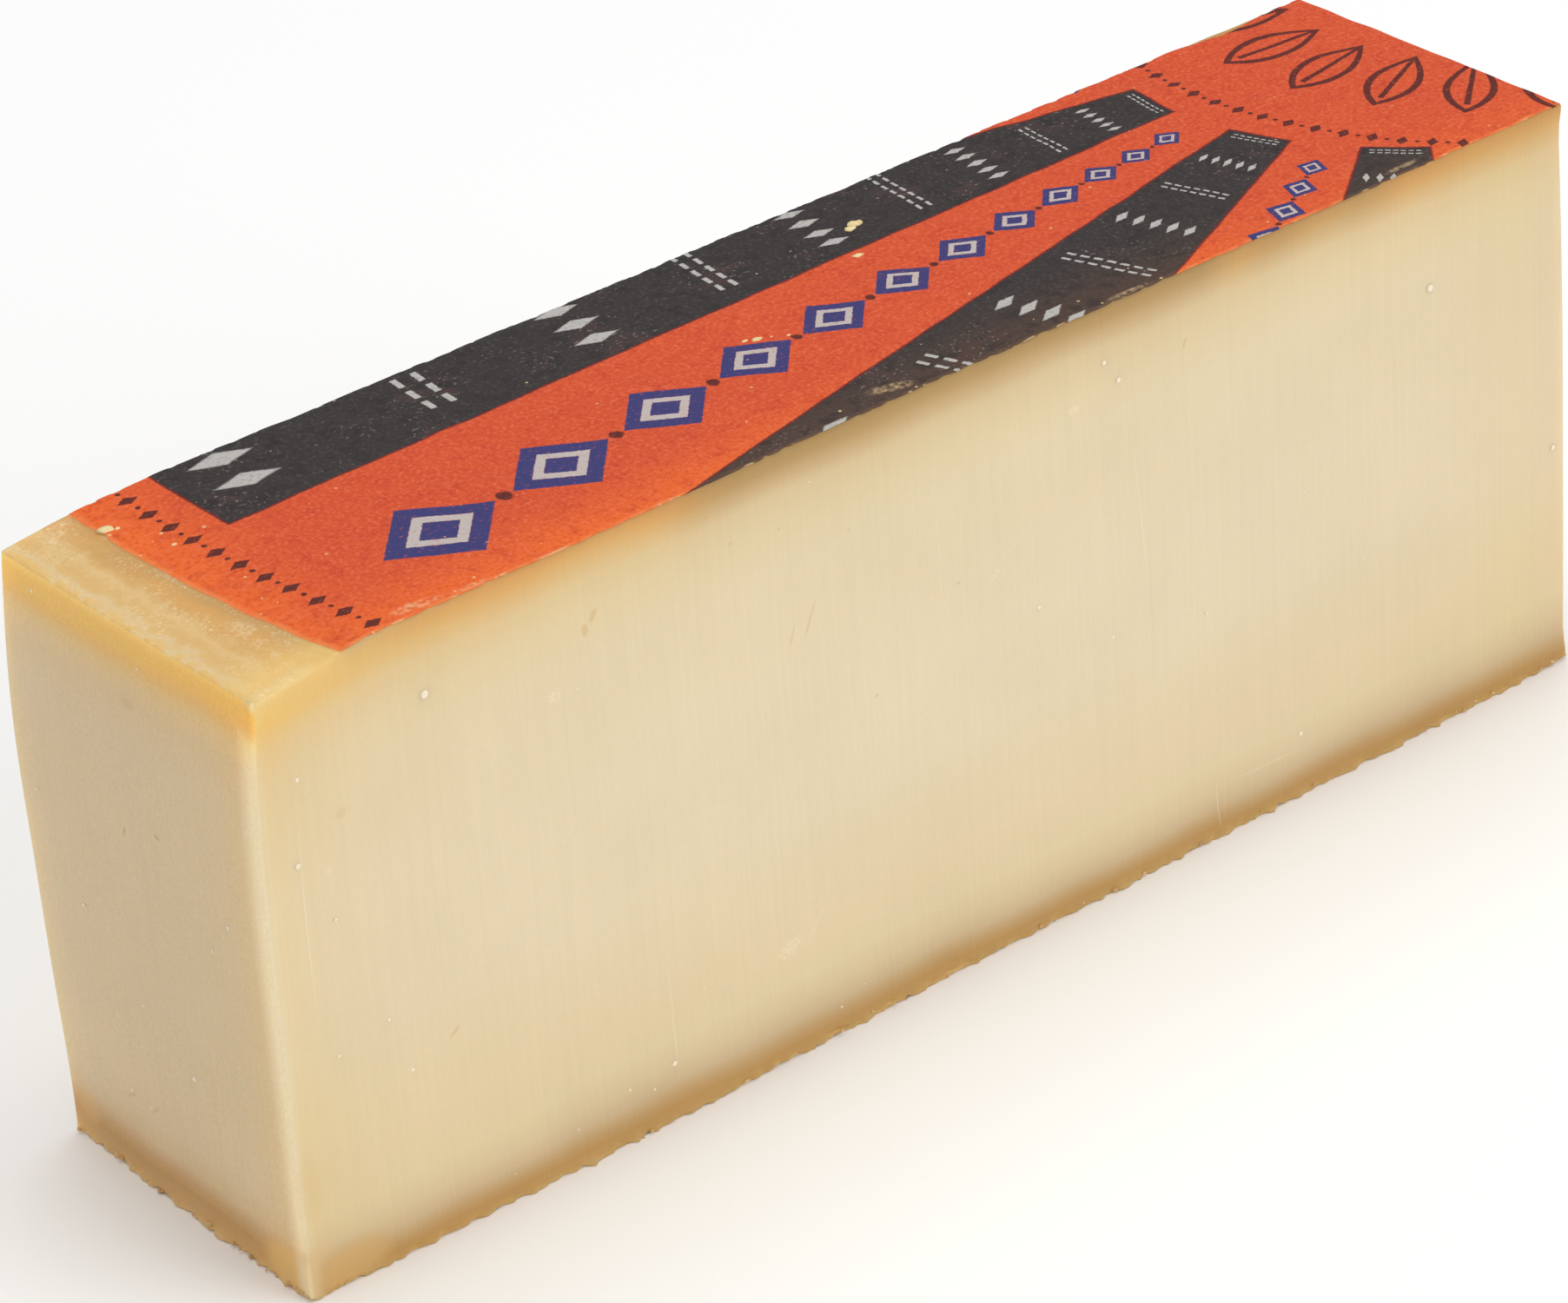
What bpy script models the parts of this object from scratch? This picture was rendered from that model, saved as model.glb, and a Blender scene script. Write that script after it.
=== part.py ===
"""A slab of hard Alpine cheese, cut from the wheel, with the printed paper label on its upper rind.

The slab is one long straight slice of the wheel. Its heel end (-X) lies where the wheel's side was
trimmed off straight, and its toe end (+X) stops just short of the wheel's centre. The front (-Y)
and the back (+Y) are the two long cuts, and the top and the foot are the wheel's own flat rinds.
The origin is the middle of the slab's resting face, and +Z is up. Sizes are in metres.
"""

import math

import bmesh
import bpy
from mathutils import Matrix, Vector, noise

# The wheel, and the slab that was cut from it.
WHEEL_HEIGHT = 0.105
CENTRE_FROM_HEEL = 0.298
CENTRE_FROM_FRONT = 0.0471
LABEL_RADIUS = 0.2865
SLAB_LENGTH = 0.2659
SLAB_WIDTH = 0.0622

# Where the slab departs from a plain box.
HEEL_DROOP = 0.0027
HEEL_DROOP_REACH = 0.026
HEEL_SWELL_FRONT = 0.0012
HEEL_SWELL_BACK = 0.0018
HEEL_FOOT_FRONT = 0.0010
HEEL_TOP_LEAN = 0.0006
TOE_TOP_LEAN = 0.0024
FRONT_FOOT_BELLY = 0.0012
FRONT_TOP_LEAN = 0.0008
BACK_FOOT_BELLY = 0.0019
RIND_LIP = 0.0006
RIND_LIP_DEPTH = 0.004
CUT_WAVE = 0.00025
CUT_WAVE_LENGTH = 0.045

# The worn edges, and the crumbling lower rind.
HEEL_EDGE_ROUND = 0.0022
CUT_EDGE_ROUND = 0.0007
EDGE_SEGMENTS = 2
CRUMB_DEPTH = 0.0007
CRUMB_LENGTH = 0.007
CRUMB_HEIGHT = 0.0012

# The foot is flat in its middle, where the slab stands, and its rim lifts a little as the rind dries.
STAND_INSET = 0.004
FOOT_RIM_LIFT = 0.0003
STAND_ROW_LIFT = 0.00002
SAME_PLACE = 0.00001

# How finely the slab's faces are divided.
CUTS_ALONG = 39
CUTS_ACROSS = 9
CUTS_UP = 17

# The paper label. It is held just clear of the rind, so that the two solids don't touch.
LABEL_THICKNESS = 0.0004
LABEL_CLEARANCE = 0.0003
LABEL_INSET = 0.0008
LABEL_TEAR_FROM_HEEL = 0.2475
LABEL_TEAR_LENGTH = 0.007
LABEL_TEAR_DEPTH = 0.0014
LABEL_STRIPS_ALONG = 36
LABEL_STRIPS_ACROSS = 8

CHEESE_COLOUR = (0.80, 0.66, 0.42, 1.0)
LABEL_COLOUR = (0.70, 0.11, 0.035, 1.0)


def clear_scene():
    """Removes whatever the scene holds, so that it holds only the slab."""
    for obj in list(bpy.data.objects):
        bpy.data.objects.remove(obj)


def new_collection(name):
    collection = bpy.data.collections.new(name)
    bpy.context.scene.collection.children.link(collection)
    return collection


def new_material(name, colour, roughness):
    """A plain Principled material."""
    material = bpy.data.materials.new(name)
    material.use_nodes = True
    shader = material.node_tree.nodes["Principled BSDF"]
    shader.inputs["Base Color"].default_value = colour
    shader.inputs["Roughness"].default_value = roughness
    shader.inputs["Metallic"].default_value = 0.0
    return material


def smooth_step(low, high, value):
    """0 below low, 1 above high, and a smooth rise between them."""
    share = min(1.0, max(0.0, (value - low) / (high - low)))
    return share * share * (3.0 - 2.0 * share)


def bell(centre, reach, value):
    """1 at the centre, falling away on both sides over about the reach."""
    return math.exp(-(((value - centre) / reach) ** 2))


def rind_lip(height):
    """How far the rind's hard edge stands proud of the paste, near the foot and the top."""
    from_rind = min(height, WHEEL_HEIGHT - height)
    return RIND_LIP * bell(0.0, RIND_LIP_DEPTH, from_rind)


def heel_shift(across, up):
    """The heel swells at mid height, and its front corner stands out at the foot."""
    swell = HEEL_SWELL_FRONT + (HEEL_SWELL_BACK - HEEL_SWELL_FRONT) * across
    foot = -HEEL_FOOT_FRONT * (1.0 - across) * (1.0 - up)
    return foot + HEEL_TOP_LEAN * up - swell * math.sin(math.pi * up**1.8)


def toe_shift(height, up):
    """The toe leans back towards its top, and the rind stands proud along both of its edges."""
    return rind_lip(height) - TOE_TOP_LEAN * up**3


def front_shift(along, up):
    """The front cut swells at the foot near the heel, and leans back a little near the toe."""
    belly = -FRONT_FOOT_BELLY * bell(0.2, 0.25, along) * (1.0 - up)
    return belly + FRONT_TOP_LEAN * smooth_step(0.2, 0.5, along) * up


def back_shift(along, up):
    """The back cut stands out at the foot of the heel."""
    return BACK_FOOT_BELLY * bell(0.0, 0.35, along) * (1.0 - up)


def top_shift(from_heel):
    """The upper rind falls away towards the wheel's side."""
    share = max(0.0, 1.0 - from_heel / HEEL_DROOP_REACH)
    return -HEEL_DROOP * share**1.6


def placed(point):
    """Carries a point of the plain box, measured from its front foot corner at the heel, to the slab.

    Each pair of opposite faces is shifted by its own rule, and what lies between them follows in
    proportion to its distance from the two.
    """
    along = point.x / SLAB_LENGTH
    across = point.y / SLAB_WIDTH
    up = min(1.0, max(0.0, point.z / WHEEL_HEIGHT))
    wave = CUT_WAVE * noise.noise(point / CUT_WAVE_LENGTH)
    x = point.x + (1.0 - along) * heel_shift(across, up) + along * toe_shift(point.z, up)
    y = point.y + (1.0 - across) * (front_shift(along, up) + wave)
    y += across * (back_shift(along, up) + wave)
    return Vector((x, y, point.z + up * top_shift(point.x)))


def shape_foot(bm):
    """Lifts the foot's rim, and returns the points of its flat middle, which stay as they are.

    The rows that bound the flat middle are lifted by a hair between their ends, so that the slab
    bears on the middle's four corners.
    """
    standing = []
    for vertex in bm.verts:
        from_end = min(vertex.co.x, SLAB_LENGTH - vertex.co.x)
        from_cut = min(vertex.co.y, SLAB_WIDTH - vertex.co.y)
        if vertex.co.z > SAME_PLACE:
            continue
        if min(from_end, from_cut) > STAND_INSET:
            standing.append(vertex)
        else:
            vertex.co.z = FOOT_RIM_LIFT
    low = [min(vertex.co[axis] for vertex in standing) for axis in (0, 1)]
    high = [max(vertex.co[axis] for vertex in standing) for axis in (0, 1)]
    for vertex in standing:
        bounding = []
        for axis in (0, 1):
            from_row = min(vertex.co[axis] - low[axis], high[axis] - vertex.co[axis])
            bounding.append(from_row < SAME_PLACE)
        if bounding[0] != bounding[1]:
            vertex.co.z = STAND_ROW_LIFT
    return set(standing)


def rounded_box():
    """A box of the slab's plain size as a mesh, its heel edges worn rounder than the cut edges."""
    size = Vector((SLAB_LENGTH, SLAB_WIDTH, WHEEL_HEIGHT))
    mesh = bpy.data.meshes.new("slab_box")
    bm = bmesh.new()
    bmesh.ops.create_cube(bm, size=1.0)
    bmesh.ops.scale(bm, vec=size, verts=bm.verts)
    bmesh.ops.translate(bm, vec=size / 2.0, verts=bm.verts)
    weight = bm.edges.layers.float.new("bevel_weight_edge")
    for edge in bm.edges:
        on_heel = all(vertex.co.x < size.x / 2.0 for vertex in edge.verts)
        on_foot = all(vertex.co.z < size.z / 2.0 for vertex in edge.verts)
        edge[weight] = 1.0 if on_heel and not on_foot else CUT_EDGE_ROUND / HEEL_EDGE_ROUND
    bm.to_mesh(mesh)
    bm.free()
    box = bpy.data.objects.new("slab_box", mesh)
    bpy.context.scene.collection.objects.link(box)
    bevel = box.modifiers.new("worn_edges", "BEVEL")
    bevel.width = HEEL_EDGE_ROUND
    bevel.segments = EDGE_SEGMENTS
    bevel.limit_method = "WEIGHT"
    rounded = bpy.data.meshes.new_from_object(box.evaluated_get(bpy.context.evaluated_depsgraph_get()))
    bpy.data.objects.remove(box)
    return rounded


def divide_faces(bm):
    """Cuts every long edge into even lengths, axis by axis, so that the faces can bend."""
    for axis, cuts in enumerate((CUTS_ALONG, CUTS_ACROSS, CUTS_UP)):
        extent = (SLAB_LENGTH, SLAB_WIDTH, WHEEL_HEIGHT)[axis]
        long_edges = []
        for edge in bm.edges:
            if abs(edge.verts[0].co[axis] - edge.verts[1].co[axis]) > extent / 2.0:
                long_edges.append(edge)
        bmesh.ops.subdivide_edges(bm, edges=long_edges, cuts=cuts, use_grid_fill=True)


def crumble_foot(vertex):
    """Breaks the lower rind's rim: it lifts and draws in unevenly, and the resting face stays flat."""
    point = vertex.co
    from_heel_or_toe = min(point.x, SLAB_LENGTH - point.x)
    from_cut = min(point.y, SLAB_WIDTH - point.y)
    if point.z > CRUMB_HEIGHT or min(from_heel_or_toe, from_cut) > CRUMB_HEIGHT:
        return
    bite = CRUMB_DEPTH * abs(noise.noise(point / CRUMB_LENGTH))
    towards_middle = Vector((SLAB_LENGTH / 2.0 - point.x, SLAB_WIDTH / 2.0 - point.y, 0.0))
    inward = Vector((0.0, math.copysign(bite, towards_middle.y), bite))
    if from_heel_or_toe < from_cut:
        inward = Vector((math.copysign(bite, towards_middle.x), 0.0, bite))
    vertex.co = point + inward


def cheese_slab(collection):
    """The cheese itself: one solid, rind and paste together."""
    mesh = rounded_box()
    bm = bmesh.new()
    bm.from_mesh(mesh)
    divide_faces(bm)
    standing = shape_foot(bm)
    for vertex in bm.verts:
        if vertex not in standing:
            crumble_foot(vertex)
            vertex.co = placed(vertex.co)
    bmesh.ops.recalc_face_normals(bm, faces=bm.faces)
    bm.to_mesh(mesh)
    bm.free()
    mesh.name = "cheese_slab"
    slab = bpy.data.objects.new("cheese_slab", mesh)
    collection.objects.link(slab)
    slab.data.materials.clear()
    slab.data.materials.append(new_material("cheese", CHEESE_COLOUR, 0.45))
    slab.data.shade_smooth()
    slab.data.set_sharp_from_angle(angle=math.radians(40.0))
    return slab


def label_tear(from_heel):
    """How far the label's back edge is torn in, beside the toe."""
    return LABEL_TEAR_DEPTH * bell(LABEL_TEAR_FROM_HEEL, LABEL_TEAR_LENGTH, from_heel)


def label_point(along, across):
    """A point of the label's underside, from two shares: along from its rim to the toe, and across.

    The label was a disc about the wheel's centre, so its rim crosses the slab as an arc. It was cut
    through with the cheese, so its other three edges lie just inside the cuts.
    """
    width = SLAB_WIDTH - 2.0 * LABEL_INSET
    y = LABEL_INSET + across * width
    rim = CENTRE_FROM_HEEL - math.sqrt(LABEL_RADIUS**2 - (y - CENTRE_FROM_FRONT) ** 2)
    x = rim + along * (SLAB_LENGTH - LABEL_INSET - rim)
    y -= label_tear(x) * across
    return placed(Vector((x, y, WHEEL_HEIGHT))) + Vector((0.0, 0.0, LABEL_CLEARANCE))


def paper_label(collection):
    """The label: a thin sheet that follows the rind."""
    bm = bmesh.new()
    bmesh.ops.create_grid(
        bm, x_segments=LABEL_STRIPS_ALONG, y_segments=LABEL_STRIPS_ACROSS, size=0.5
    )
    for vertex in bm.verts:
        vertex.co = label_point(vertex.co.x + 0.5, vertex.co.y + 0.5)
    bmesh.ops.triangulate(bm, faces=bm.faces)
    mesh = bpy.data.meshes.new("paper_label")
    bm.to_mesh(mesh)
    bm.free()
    label = bpy.data.objects.new("paper_label", mesh)
    collection.objects.link(label)
    paper = label.modifiers.new("paper", "SOLIDIFY")
    paper.thickness = LABEL_THICKNESS
    paper.offset = 1.0
    label.data.materials.append(new_material("label_paper", LABEL_COLOUR, 0.7))
    return label


def stand_on_origin(slab, pieces):
    """Moves the pieces together so that the slab's box stands centred on the origin."""
    points = [vertex.co for vertex in slab.data.vertices]
    low = [min(point[axis] for point in points) for axis in range(3)]
    high = [max(point[axis] for point in points) for axis in range(3)]
    shift = Vector((-(low[0] + high[0]) / 2.0, -(low[1] + high[1]) / 2.0, -low[2]))
    for piece in pieces:
        piece.data.transform(Matrix.Translation(shift))


def main():
    clear_scene()
    collection = new_collection("cheese_slab_with_label")
    slab = cheese_slab(collection)
    label = paper_label(collection)
    stand_on_origin(slab, (slab, label))


main()
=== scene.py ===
"""A slab of hard Alpine cheese with its paper label, finished for a studio photograph.

The file follows the slab as it comes to the counter: the cut cheese, what has dried on its rind, and
the label pasted on top. The table, the lamps and the camera come last. Lengths are in metres, and
patterns on a surface, which are small, are laid out in millimetres.
"""

import math

import bmesh
import bpy
import numpy as np
from mathutils import Matrix, Vector


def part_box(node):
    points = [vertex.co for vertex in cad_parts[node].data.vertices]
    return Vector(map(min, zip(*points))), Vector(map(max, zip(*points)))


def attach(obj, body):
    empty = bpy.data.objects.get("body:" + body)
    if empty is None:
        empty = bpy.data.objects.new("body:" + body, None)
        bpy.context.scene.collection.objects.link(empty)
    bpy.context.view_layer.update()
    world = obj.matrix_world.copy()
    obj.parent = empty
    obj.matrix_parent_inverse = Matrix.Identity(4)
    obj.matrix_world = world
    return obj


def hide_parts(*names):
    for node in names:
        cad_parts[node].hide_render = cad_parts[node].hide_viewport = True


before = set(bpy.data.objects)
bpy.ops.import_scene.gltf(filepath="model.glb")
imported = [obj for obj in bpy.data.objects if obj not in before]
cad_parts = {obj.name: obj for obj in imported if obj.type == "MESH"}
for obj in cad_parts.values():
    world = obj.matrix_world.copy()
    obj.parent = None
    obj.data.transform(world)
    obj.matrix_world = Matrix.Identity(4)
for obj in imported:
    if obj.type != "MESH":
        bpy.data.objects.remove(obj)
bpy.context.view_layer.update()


# The slab's form
# One straight slice through a pressed wheel, whose flat faces are the slab's top and foot. The heel is
# where the wheel's side was trimmed off, and a wire cut the two long faces and the toe. The rules are
# the plain solid's, with some of its sizes read more closely.

SLAB_LENGTH = 0.2659
SLAB_WIDTH = 0.0622
SLAB_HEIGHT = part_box("cheese_slab")[1].z
PLAIN_CORNER = (-0.1325457, -0.0314704, 0.0)

HEEL_DROOP_FRONT = 0.0027
HEEL_DROOP_BACK = 0.0019
HEEL_DROOP_REACH = 0.026
HEEL_DROOP_POWER = 1.6
HEEL_SWELL_FRONT = 0.0012
HEEL_SWELL_BACK = 0.0020
HEEL_SWELL_POWER = 1.8
HEEL_FOOT_FRONT = 0.0010
HEEL_TOP_LEAN = 0.0006
TOE_TOP_LEAN = 0.0017
TOE_TOP_POWER = 3
TOE_OUT = 0.0004
FRONT_FOOT_BELLY = 0.0012
FRONT_BELLY_SPAN = (0.2, 0.25)
FRONT_FOOT_OUT = 0.0005
FRONT_OUT_SPAN = (0.1, 0.4)
FRONT_TOP_LEAN = 0.0008
FRONT_LEAN_SPAN = (0.2, 0.5)
BACK_FOOT_BELLY = 0.0003
BACK_BELLY_SPAN = (0.0, 0.35)
RIND_LIP = 0.0008
RIND_LIP_DEPTH = 0.003
FOOT_LIP = 0.0013
FOOT_LIP_DEPTH = 0.0045


def rise(low, high, value):
    """0 below low and 1 above high, joined by 3t² - 2t³ of the share t of the way between them."""
    share = np.clip((value - low) / (high - low), 0.0, 1.0)
    return share * share * (3.0 - 2.0 * share)


def bell(centre, reach, value):
    """e to the power of minus the square of the distance from the centre, counted in reaches."""
    return np.exp(-(((value - centre) / reach) ** 2))


def top_droop(along_slab, across_share):
    """How far the upper rind has sunk: the most, times a power of the share of the reach still left."""
    most = HEEL_DROOP_FRONT + (HEEL_DROOP_BACK - HEEL_DROOP_FRONT) * across_share
    return most * np.maximum(0.0, 1.0 - along_slab / HEEL_DROOP_REACH) ** HEEL_DROOP_POWER


def placed(points):
    """Carries points of the plain box, measured from its front foot corner at the heel, to the slab.

    Heel and toe are shifted along the slab, front and back across it, and the top down, each by a
    rule of its own. What lies between two faces follows them in proportion.
    """
    x, y, z = np.moveaxis(points, -1, 0)
    along = x / SLAB_LENGTH
    across = y / SLAB_WIDTH
    up = np.clip(z / SLAB_HEIGHT, 0.0, 1.0)
    swell = HEEL_SWELL_FRONT + (HEEL_SWELL_BACK - HEEL_SWELL_FRONT) * across
    heel = (HEEL_TOP_LEAN * up - HEEL_FOOT_FRONT * (1.0 - up)) * (1.0 - across)
    heel = heel - swell * np.sin(np.pi * up**HEEL_SWELL_POWER)
    lip = RIND_LIP * bell(SLAB_HEIGHT, RIND_LIP_DEPTH, z) + FOOT_LIP * bell(0.0, FOOT_LIP_DEPTH, z)
    toe = TOE_OUT + lip - TOE_TOP_LEAN * up**TOE_TOP_POWER
    front = FRONT_TOP_LEAN * rise(*FRONT_LEAN_SPAN, along) * up
    belly = FRONT_FOOT_BELLY * bell(*FRONT_BELLY_SPAN, along)
    belly = belly + FRONT_FOOT_OUT * rise(*FRONT_OUT_SPAN, along)
    front = front - belly * (1.0 - up)
    back = BACK_FOOT_BELLY * bell(*BACK_BELLY_SPAN, along) * (1.0 - up)
    moved = (
        x + (1.0 - along) * heel + along * toe,
        y + (1.0 - across) * front + across * back,
        z - up * top_droop(x, across),
    )
    return np.stack(moved, axis=-1) + PLAIN_CORNER


def ripple(points, size, seed, waves=14):
    """Uneven relief of about that size, near -1 to 1: a sum of sine waves in seeded directions."""
    draw = np.random.default_rng(seed)
    heading = draw.normal(size=(waves, 3))
    heading /= np.linalg.norm(heading, axis=1, keepdims=True)
    length = size * draw.uniform(0.7, 1.6, waves)
    phase = draw.uniform(0.0, 2.0 * np.pi, waves)
    turns = points @ (heading / length[:, None]).T * 2.0 * np.pi + phase
    return np.sin(turns).sum(axis=-1) / math.sqrt(2.0 * waves)


FINE_STEPS = np.array((0.0, 0.0003, 0.0006, 0.001, 0.0015, 0.0021, 0.0028, 0.0036))


def edge_steps(length, steps):
    """Places along an edge: the fine steps from either end, and even steps between them."""
    middle = np.linspace(FINE_STEPS[-1], length - FINE_STEPS[-1], steps + 1)[1:-1]
    return np.concatenate((FINE_STEPS, middle, length - FINE_STEPS[::-1]))


def box_skin(counts):
    """The outside of a lattice of nx by ny by nz points: its outer points' steps, and its squares.

    The outer points are numbered once, so two sides share the points of their common edge and the
    skin is closed. Each square's corners run anticlockwise as seen from outside.
    """
    steps = np.indices(counts)
    last = np.array(counts).reshape(3, 1, 1, 1) - 1
    outer = ((steps == 0) | (steps == last)).any(axis=0)
    number = np.full(counts, -1)
    number[outer] = np.arange(outer.sum())
    squares = []
    for axis in range(3):
        for end in (0, -1):
            side = np.take(number, end, axis=axis)
            corners = (side[:-1, :-1], side[1:, :-1], side[1:, 1:], side[:-1, 1:])
            square = np.stack(corners, axis=-1).reshape(-1, 4)
            faces_out = (end == -1) != (axis == 1)
            squares.append(square if faces_out else square[:, ::-1])
    return steps[:, outer], np.concatenate(squares)


def new_piece(name, points, faces, material, laid=None):
    """A smooth mesh object from arrays: its points, and its faces, all with as many corners.

    laid holds the points' places on the plain box in metres, for patterns that follow its faces.
    """
    mesh = bpy.data.meshes.new(name)
    mesh.vertices.add(len(points))
    mesh.vertices.foreach_set("co", np.asarray(points, np.float32).ravel())
    mesh.loops.add(faces.size)
    mesh.loops.foreach_set("vertex_index", np.asarray(faces, np.int32).ravel())
    mesh.polygons.add(len(faces))
    starts = np.arange(0, faces.size, faces.shape[1], dtype=np.int32)
    mesh.polygons.foreach_set("loop_start", starts)
    mesh.polygons.foreach_set("use_smooth", np.ones(len(faces), bool))
    mesh.update(calc_edges=True)
    mesh.materials.append(material)
    if laid is not None:
        places = mesh.attributes.new("laid_mm", "FLOAT_VECTOR", "POINT")
        places.data.foreach_set("vector", (laid * 1000.0).astype(np.float32).ravel())
    piece = bpy.data.objects.new(name, mesh)
    bpy.context.scene.collection.objects.link(piece)
    return piece


# The cheese's finish
# Pressed paste, cream within and honey-coloured outwards, that turns to brown rind at the foot and to
# golden rind at the top. It is waxy, so light soaks into it, and the wire left fine drag lines.


def paint(red, green, blue):
    """A colour as a paint chart gives it, 0 to 255, as the linear light that shaders take."""
    chart = np.array((red, green, blue)) / 255.0
    light = np.where(chart > 0.04045, ((chart + 0.055) / 1.055) ** 2.4, chart / 12.92)
    return (*light.tolist(), 1.0)


class Field:
    """A value that varies over a surface: one output of a shader node.

    Its sums, products and powers, with numbers or other fields, are Math nodes in the same tree.
    """

    def __init__(self, socket):
        self.socket = socket
        self.tree = socket.id_data

    def maths(self, operation, *values):
        """The Math node of that operation on this field and the further values."""
        node = self.tree.nodes.new("ShaderNodeMath")
        node.operation = operation
        for entry, value in zip(node.inputs, (self, *values)):
            feed(entry, value)
        return Field(node.outputs[0])

    def __add__(self, other):
        return self.maths("ADD", other)

    def __sub__(self, other):
        return self.maths("SUBTRACT", other)

    def __rsub__(self, other):
        return self.maths("MULTIPLY_ADD", -1.0, other)

    def __mul__(self, other):
        return self.maths("MULTIPLY", other)

    def __truediv__(self, other):
        return self.maths("DIVIDE", other)

    def __pow__(self, other):
        return self.maths("POWER", other)

    def __abs__(self):
        return self.maths("ABSOLUTE")

    __radd__ = __add__
    __rmul__ = __mul__

    def ramp(self, low, high, start=0.0, end=1.0):
        """start where the field is below low, end where it is above high, and a smooth way between."""
        node = self.tree.nodes.new("ShaderNodeMapRange")
        node.interpolation_type = "SMOOTHSTEP"
        for name, value in (("Value", self), ("From Min", low), ("From Max", high)):
            feed(node.inputs[name], value)
        node.inputs["To Min"].default_value = start
        node.inputs["To Max"].default_value = end
        return Field(node.outputs["Result"])

    def fade(self, reach):
        """1 where the field is 0 or less, falling as e to the minus square of (field / reach)."""
        share = self.maths("MAXIMUM", 0.0) / reach
        return (share * share * -1.0).maths("EXPONENT")


def feed(entry, value):
    """Joins a field to a node's input, or sets the input to a plain value."""
    if isinstance(value, Field):
        value.tree.links.new(value.socket, entry)
    else:
        entry.default_value = value


def larger(first, *others):
    """The largest of some fields."""
    for other in others:
        first = first.maths("MAXIMUM", other)
    return first


def split(vector):
    """The three components of a vector field."""
    node = vector.tree.nodes.new("ShaderNodeSeparateXYZ")
    feed(node.inputs[0], vector)
    return [Field(output) for output in node.outputs]


def join(x, y, z=0.0):
    """A vector field from its components, of which some may be plain numbers."""
    node = x.tree.nodes.new("ShaderNodeCombineXYZ")
    for entry, value in zip(node.inputs, (x, y, z)):
        feed(entry, value)
    return Field(node.outputs[0])


def stretched(vector, factors, shift=(0.0, 0.0, 0.0)):
    """A vector field with its components multiplied by three numbers, and three more added."""
    node = vector.tree.nodes.new("ShaderNodeVectorMath")
    node.operation = "MULTIPLY_ADD"
    feed(node.inputs[0], vector)
    node.inputs[1].default_value = factors
    node.inputs[2].default_value = shift
    return Field(node.outputs[0])


def noise(vector, size, detail=1.0, roughness=0.5):
    """Smooth random values about 0, seldom beyond 0.3 either way, in lumps of about that size."""
    node = vector.tree.nodes.new("ShaderNodeTexNoise")
    feed(node.inputs["Vector"], vector)
    node.inputs["Scale"].default_value = 1.0 / size
    node.inputs["Detail"].default_value = detail
    node.inputs["Roughness"].default_value = roughness
    return Field(node.outputs["Fac"]) - 0.5


def blend(share, first, second):
    """The first colour where the share is 0, the second where it is 1, and a mixture between."""
    node = share.tree.nodes.new("ShaderNodeMix")
    node.data_type = "RGBA"
    feed(node.inputs[0], share)
    feed(node.inputs[6], first)
    feed(node.inputs[7], second)
    return Field(node.outputs[2])


def times(first, second):
    """The product of two colours, channel by channel."""
    node = first.tree.nodes.new("ShaderNodeVectorMath")
    node.operation = "MULTIPLY"
    feed(node.inputs[0], first)
    feed(node.inputs[1], second)
    return Field(node.outputs[0])


def tones(value, stops):
    """A colour for each value from 0, straight between stops of (value, red, green, blue).

    Its channels run to 255. It is given as a share of the paste's own colour, so that several such
    shares multiply.
    """
    node = value.tree.nodes.new("ShaderNodeValToRGB")
    reach = stops[-1][0]
    feed(node.inputs[0], value / reach)
    elements = node.color_ramp.elements
    for stop in stops[1:-1]:
        elements.new(stop[0] / reach)
    for element, stop in zip(elements, stops):
        share = np.array(paint(*stop[1:])) / PASTE
        element.color = share.tolist()
    return Field(node.outputs["Color"])


def new_group(name, entries, results):
    """A shader node group with those named inputs and outputs: its tree and its inputs as fields."""
    tree = bpy.data.node_groups.new(name, "ShaderNodeTree")
    for entry, kind in entries:
        tree.interface.new_socket(entry, in_out="INPUT", socket_type=kind)
    for result in results:
        tree.interface.new_socket(result, in_out="OUTPUT", socket_type="NodeSocketFloat")
    inside = tree.nodes.new("NodeGroupInput")
    tree.nodes.new("NodeGroupOutput").name = "results"
    return tree, [Field(output) for output in inside.outputs[: len(entries)]]


def finish_group(tree, **results):
    """Joins fields to the group's outputs of those names."""
    for name, field in results.items():
        feed(tree.nodes["results"].inputs[name.capitalize()], field)


def use_group(group, tree, **values):
    """Places the group in a tree with those values for its inputs, and returns its outputs."""
    node = tree.nodes.new("ShaderNodeGroup")
    node.node_tree = group
    for name, value in values.items():
        feed(node.inputs[name.capitalize()], value)
    return [Field(output) for output in node.outputs]


VECTOR = "NodeSocketVector"
NUMBER = "NodeSocketFloat"
HEIGHT_MM = SLAB_HEIGHT * 1000.0
WIDTH_MM = SLAB_WIDTH * 1000.0

# Scattered specks: one in each cell of a random honeycomb, of which only a share is kept, each with
# a size of its own and a ragged rim.
specks, (speck_place, speck_pitch, speck_share) = new_group(
    "specks", [("Place", VECTOR), ("Pitch", NUMBER), ("Share", NUMBER)], ["Mask"]
)
honeycomb = specks.nodes.new("ShaderNodeTexVoronoi")
feed(honeycomb.inputs["Vector"], speck_place)
feed(honeycomb.inputs["Scale"], speck_pitch**-1.0)
own_draw, own_size, _ = split(Field(honeycomb.outputs["Color"]))
speck_reach = own_size * 0.28 + 0.08 + noise(speck_place, 0.35) * 0.22
speck_inside = speck_reach - Field(honeycomb.outputs["Distance"])
finish_group(specks, mask=speck_inside.ramp(0.0, 0.06) * (speck_share - own_draw).ramp(0.0, 0.01))


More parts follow.
